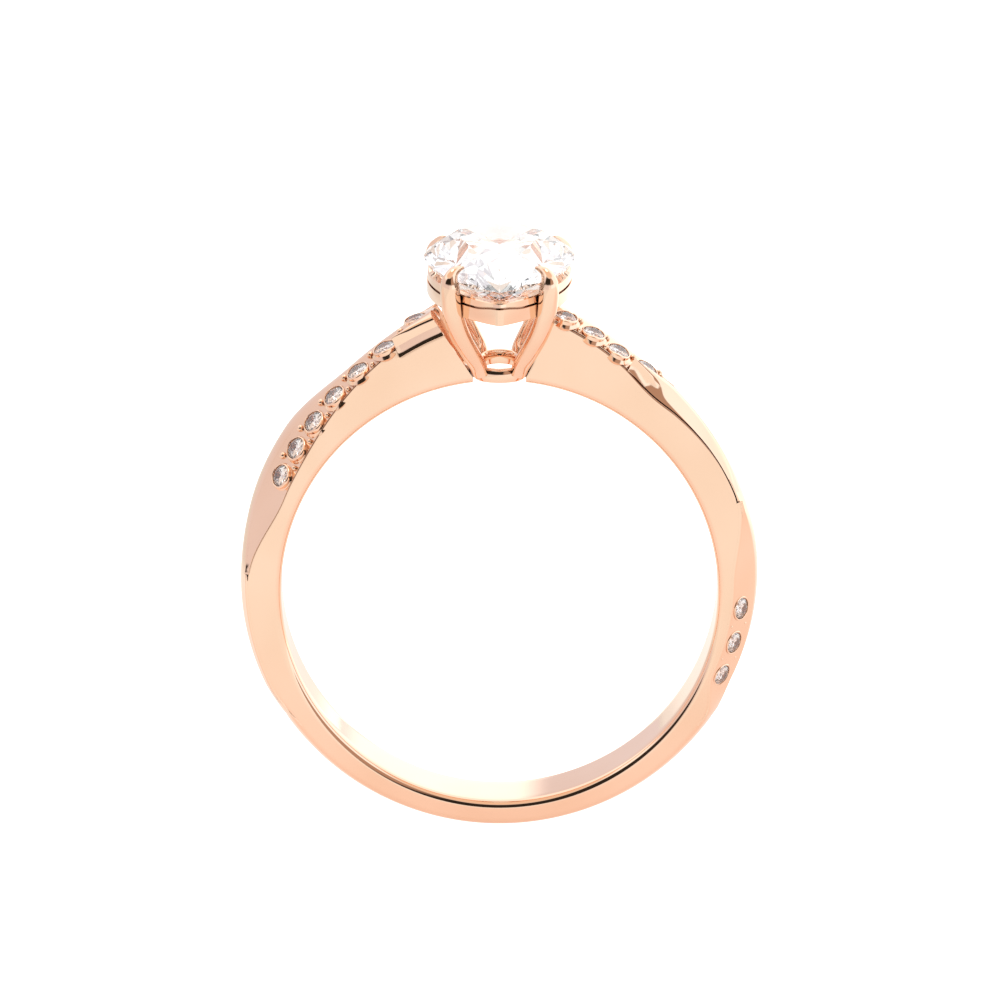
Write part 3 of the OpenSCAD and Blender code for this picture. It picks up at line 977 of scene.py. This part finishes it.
def make_rail():
    """The rail under the girdle: a groove divides an upright lower band from a leaning upper one."""

    def ring_at(q, profile):
        return [Vector((*pear_point(q, RAIL_OUT + d), RAIL_TOP - RAIL_H + z)) for d, z in profile]

    rings = [ring_at(q, rail_profile(q)) for q in pear_steps(TIP_GAP)]
    tip = ring_at(2, rail_profile(2 - TIP_GAP))
    start = rings[-1]
    end = rings[0]
    for i in range(1, TIP_STEPS):
        t = i / TIP_STEPS
        rings.append([(1 - t) ** 2 * s + 2 * t * (1 - t) * c + t * t * e
                      for s, c, e in zip(start, tip, end)])
    shell = Shell()
    shell.skin(rings, closed=True)
    shell_piece("gallery_rail_look", shell, HEAD_GOLD, ["gallery_rail"], sharp=24)


BASE_X = GAP_HALF - 0.01   # half the plan's width, with a clearance to the cheeks
BASE_Y = 1.6
BASE_T = 0.42
BASE_TOP = BORE_R + 0.55
BASE_STEPS = 64
# (inset from the plan's edge, height as a fraction) round the ring's section
BASE_PROFILE = [(0.0, 0.3), (0.0, 0.62), (0.025, 0.8), (0.08, 0.93), (0.17, 1.0), (BASE_T - 0.17, 1.0),
                (BASE_T - 0.08, 0.93), (BASE_T - 0.025, 0.8), (BASE_T, 0.62), (BASE_T, 0.2),
                (BASE_T - 0.03, 0.06), (BASE_T - 0.1, 0.0), (0.12, 0.0), (0.04, 0.1)]


def base_point(q, inset):
    """Point of the stadium plan at q in 0..1, inset from its edge."""
    radius = BASE_X - inset
    straight = BASE_Y - BASE_X
    turned = 2 * math.pi * q
    x = radius * math.cos(turned)
    y = radius * math.sin(turned)
    return x, y + (straight if turned <= math.pi else -straight)


def make_base_ring():
    """The ring that the prongs stand on, curved underneath to the finger bore."""
    rings = []
    for k in range(BASE_STEPS):
        ring = []
        for inset, height in BASE_PROFILE:
            x, y = base_point((k + 0.5) / BASE_STEPS, inset)
            bore = math.sqrt(BORE_R ** 2 - x * x)
            ring.append(Vector((x, y, mix(bore, BASE_TOP, height))))
        rings.append(ring)
    shell = Shell()
    shell.skin(rings, closed=True)
    shell_piece("base_ring_look", shell, HEAD_GOLD, ["base_ring"], sharp=28)


# the right prongs' middle lines, as (x, y, z, thickness); the left ones are their mirror images
FRONT_PATH = [(0.72, -1.3, 8.6, 0.8), (0.84, -1.5, 9, 0.85), (1.14, -1.88, 9.6, 0.9),
              (1.5, -2.26, 10.4, 0.95), (1.74, -2.5, 11.2, 1), (1.84, -2.6, 12, 0.98),
              (1.86, -2.62, 12.42, 0.87), (1.84, -2.6, 12.6, 0.75), (1.75, -2.51, 12.79, 0.56),
              (1.6, -2.38, 12.9, 0.4), (1.44, -2.26, 12.94, 0.24), (1.35, -2.19, 12.94, 0.12)]
BACK_PATH = [(0.72, 1.3, 8.6, 0.8), (0.84, 1.5, 8.95, 0.85), (1.24, 1.98, 9.6, 0.9),
             (1.76, 2.5, 10.4, 0.95), (2.18, 2.92, 11.2, 1), (2.4, 3.14, 12, 1), (2.4, 3.13, 12.3, 0.84),
             (2.32, 3.04, 12.54, 0.52), (2.2, 2.9, 12.72, 0.32), (2.1, 2.79, 12.8, 0.2),
             (2.02, 2.72, 12.83, 0.1)]
PRONG_R = 0.39
PRONG_SIDES = 24


def along_path(path, per_step=5):
    """Smooth curve through the path's points, with its thickness as a fourth coordinate."""
    points = [Vector(p) for p in path]
    points = [points[0] * 2 - points[1]] + points + [points[-1] * 2 - points[-2]]
    out = []
    for a, b, c, d in zip(points, points[1:], points[2:], points[3:]):
        for i in range(per_step):
            t = i / per_step
            out.append(0.5 * (2 * b + (c - a) * t + (2 * a - 5 * b + 4 * c - d) * t * t
                              + (3 * b - 3 * c + d - a) * t ** 3))
    out.append(points[-2])
    return out


def make_prong(end, shoulder):
    path = FRONT_PATH if end == "front" else BACK_PATH
    sign = 1 if shoulder == "right" else -1
    curve = along_path([(sign * x, y, z, k) for x, y, z, k in path])
    sections = []
    for i, p in enumerate(curve):
        before = curve[max(i - 1, 0)].to_3d()
        after = curve[min(i + 1, len(curve) - 1)].to_3d()
        run = (after - before).normalized()
        u = run.cross(Vector((1, 0, 0))).normalized()
        v = run.cross(u)
        size = PRONG_R * p.w
        ring = []
        for k in range(PRONG_SIDES):
            q = 2 * math.pi * k / PRONG_SIDES
            ring.append(p.to_3d() + size * (math.cos(q) * u + math.sin(q) * v))
        sections.append(ring)
    shell = Shell()
    shell.skin(sections, bevel=0.02)
    name = "prong_%s_%s" % (end, shoulder)
    shell_piece(name + "_look", shell, HEAD_GOLD, [name])


SET_COVERED = 88          # the upper stone-set ribbon has run under the plain one by this angle
SET_APPEARS = 60          # the lower stone-set ribbon comes out from under it after this one

make_shank()
for shoulder in ("right", "left"):
    make_plain_ribbon(shoulder, "upper", JOIN, BETWEEN, from_cheek=True)
    make_plain_ribbon(shoulder, "lower", JOIN, RIBBON_END, from_cheek=shoulder == "left")
    make_set_ribbon(shoulder, "upper", JOIN, SET_COVERED, from_cheek=True)
    make_set_ribbon(shoulder, "lower", SET_APPEARS, RIBBON_END, from_cheek=False)
make_base_ring()
make_rail()
for end in ("front", "back"):
    for shoulder in ("left", "right"):
        make_prong(end, shoulder)
make_centre_stone()
make_small_stones()


# ---- floor, light and camera; their places are in metres ----
def span(nodes, links, value, start, end, low=0.0, high=1.0):
    """Smooth step from low to high as the value goes from start to end."""
    node = nodes.new("ShaderNodeMapRange")
    node.interpolation_type = "SMOOTHSTEP"
    node.inputs["From Min"].default_value = start
    node.inputs["From Max"].default_value = end
    node.inputs["To Min"].default_value = low
    node.inputs["To Max"].default_value = high
    links.new(value, node.inputs["Value"])
    return node.outputs["Result"]


def times(nodes, links, *values):
    total = values[0]
    for value in values[1:]:
        node = nodes.new("ShaderNodeMath")
        node.operation = "MULTIPLY"
        links.new(total, node.inputs[0])
        links.new(value, node.inputs[1])
        total = node.outputs[0]
    return total


def plus(nodes, links, *values):
    total = values[0]
    for value in values[1:]:
        node = nodes.new("ShaderNodeMath")
        node.operation = "ADD"
        links.new(total, node.inputs[0])
        links.new(value, node.inputs[1])
        total = node.outputs[0]
    return total


def overlay(nodes, links, mask, under, colour):
    """The colour laid over another one where the mask is 1."""
    node = nodes.new("ShaderNodeMix")
    node.data_type = "RGBA"
    links.new(mask, node.inputs["Factor"])
    links.new(under, node.inputs["A"])
    node.inputs["B"].default_value = colour
    return node.outputs["Result"]


def make_floor():
    """A white table that glows, so that the gold picks it up.

    The glow is warm close to the ring, stronger behind it on the right, and weaker on the left.
    """
    half = 0.3
    z = CAD_BOX[0][2]
    mesh = bpy.data.meshes.new("floor")
    mesh.from_pydata([(-half, -half, z), (half, -half, z), (half, half, z), (-half, half, z)], [],
                     [(0, 1, 2, 3)])
    floor = bpy.data.objects.new("floor", mesh)
    bpy.context.collection.objects.link(floor)
    material, nodes, links, shader = new_material("floor_white")
    tone = ramp(nodes, links, noise(nodes, links, scale=40, detail=2.0), grey(0.14), grey(0.16))
    links.new(tone, shader.inputs["Base Color"])
    shader.inputs["Roughness"].default_value = 0.9
    place = nodes.new("ShaderNodeTexCoord")
    split = nodes.new("ShaderNodeSeparateXYZ")
    links.new(place.outputs["Object"], split.inputs["Vector"])
    x = split.outputs["X"]
    y = split.outputs["Y"]
    away = nodes.new("ShaderNodeMath")
    away.operation = "ABSOLUTE"
    links.new(y, away.inputs[0])
    near_tint = (1.0, 0.8, 0.72, 1)
    far_tint = (1.0, 1.0, 0.96, 1)
    tint = ramp(nodes, links, away.outputs[0], near_tint, far_tint, 0.002, 0.03)
    links.new(tint, shader.inputs["Emission Color"])
    glow = span(nodes, links, x, -0.05, -0.03, 0.78, 0.88)
    behind = span(nodes, links, y, 0.02, 0.06)
    right = times(nodes, links, behind, span(nodes, links, x, 0.0, 0.02, 0.0, 0.45))
    left = times(nodes, links, behind, span(nodes, links, x, 0.0, -0.02, 0.0, -0.15))
    # the camera itself sees a brighter table, so that it comes out white
    path = nodes.new("ShaderNodeLightPath")
    seen = span(nodes, links, path.outputs["Is Camera Ray"], 0.0, 1.0, 0.0, 0.9)
    links.new(plus(nodes, links, glow, right, left, seen), shader.inputs["Emission Strength"])
    mesh.materials.append(material)


def make_world():
    """Soft light tent, dark in front, where the camera stands. Directions are x, y, z from -1 to 1."""
    world = bpy.data.worlds.new("tent")
    bpy.context.scene.world = world
    world.use_nodes = True
    nodes = world.node_tree.nodes
    links = world.node_tree.links
    place = nodes.new("ShaderNodeTexCoord")
    split = nodes.new("ShaderNodeSeparateXYZ")
    links.new(place.outputs["Generated"], split.inputs["Vector"])
    x, y, z = (split.outputs[i] for i in range(3))
    tent = ramp(nodes, links, z, grey(1.0), grey(1.25), 0.15, 0.6)
    # a cool, bright right side
    right = span(nodes, links, x, 0.3, 0.6)
    tent = overlay(nodes, links, right, tent, (1.25, 1.3, 1.35, 1))
    # a warm top, on the camera's side
    warm = times(nodes, links, span(nodes, links, z, 0.7, 0.8), span(nodes, links, y, 0.3, 0.1))
    tent = overlay(nodes, links, warm, tent, (0.95, 0.74, 0.58, 1))
    # a bright band behind the ring
    glare = times(nodes, links, span(nodes, links, y, 0.4, 0.6), span(nodes, links, z, -0.02, 0.08),
                  span(nodes, links, z, 0.45, 0.6, 1.0, 0.0))
    tent = overlay(nodes, links, glare, tent, grey(1.5))
    # a greyer left side
    left = times(nodes, links, span(nodes, links, x, -0.04, -0.14), span(nodes, links, z, -0.3, -0.1),
                 span(nodes, links, z, 0.42, 0.6, 1.0, 0.0))
    tent = overlay(nodes, links, left, tent, (0.86, 0.8, 0.83, 1))
    # the dark front, brown on its right
    front = times(nodes, links, span(nodes, links, y, -0.42, -0.58), span(nodes, links, z, 0.04, 0.1),
                  span(nodes, links, z, 0.68, 0.78, 1.0, 0.0))
    tent = overlay(nodes, links, front, tent, (0.03, 0.025, 0.02, 1))
    brown = times(nodes, links, front, span(nodes, links, x, 0.2, 0.4))
    tent = overlay(nodes, links, brown, tent, (0.5, 0.34, 0.26, 1))
    background = nodes["Background"]
    links.new(tent, background.inputs["Color"])
    background.inputs["Strength"].default_value = 1.0
    # the camera itself sees a plain white backdrop
    white = nodes.new("ShaderNodeBackground")
    white.inputs["Strength"].default_value = 1.2
    path = nodes.new("ShaderNodeLightPath")
    choose = nodes.new("ShaderNodeMixShader")
    links.new(path.outputs["Is Camera Ray"], choose.inputs["Fac"])
    links.new(background.outputs["Background"], choose.inputs[1])
    links.new(white.outputs["Background"], choose.inputs[2])
    links.new(choose.outputs["Shader"], nodes["World Output"].inputs["Surface"])


def add_area(name, place, aim, size, power):
    light = bpy.data.lights.new(name, "AREA")
    light.shape = "DISK"
    light.size = size
    light.energy = power
    obj = bpy.data.objects.new(name, light)
    obj.location = place
    obj.rotation_euler = (Vector(aim) - Vector(place)).to_track_quat("-Z", "Y").to_euler()
    bpy.context.collection.objects.link(obj)


CAMERA_RISE = math.radians(16)
CAMERA_AWAY = 0.5
CAMERA_AIM = Vector((0.019, 0.863, 3.010)) * MM


def make_camera():
    """A long lens on the front of the ring, looking down at it a little."""
    data = bpy.data.cameras.new("camera")
    data.sensor_width = 36
    data.lens = 475
    data.clip_start = 0.01
    data.clip_end = 10
    camera = bpy.data.objects.new("camera", data)
    back = Vector((0, -math.cos(CAMERA_RISE), math.sin(CAMERA_RISE)))
    camera.location = CAMERA_AIM + CAMERA_AWAY * back
    camera.rotation_euler = (math.pi / 2 - CAMERA_RISE, 0, 0)
    bpy.context.collection.objects.link(camera)
    bpy.context.scene.camera = camera


make_floor()
make_world()
add_area("overhead", place=(0, 0.02, 0.3), aim=(0, 0, 0.005), size=0.1, power=0.06)
make_camera()

scene = bpy.context.scene
scene.view_settings.view_transform = "Standard"
scene.cycles.max_bounces = 24
scene.cycles.transmission_bounces = 24
scene.cycles.glossy_bounces = 12
scene.cycles.use_denoising = True
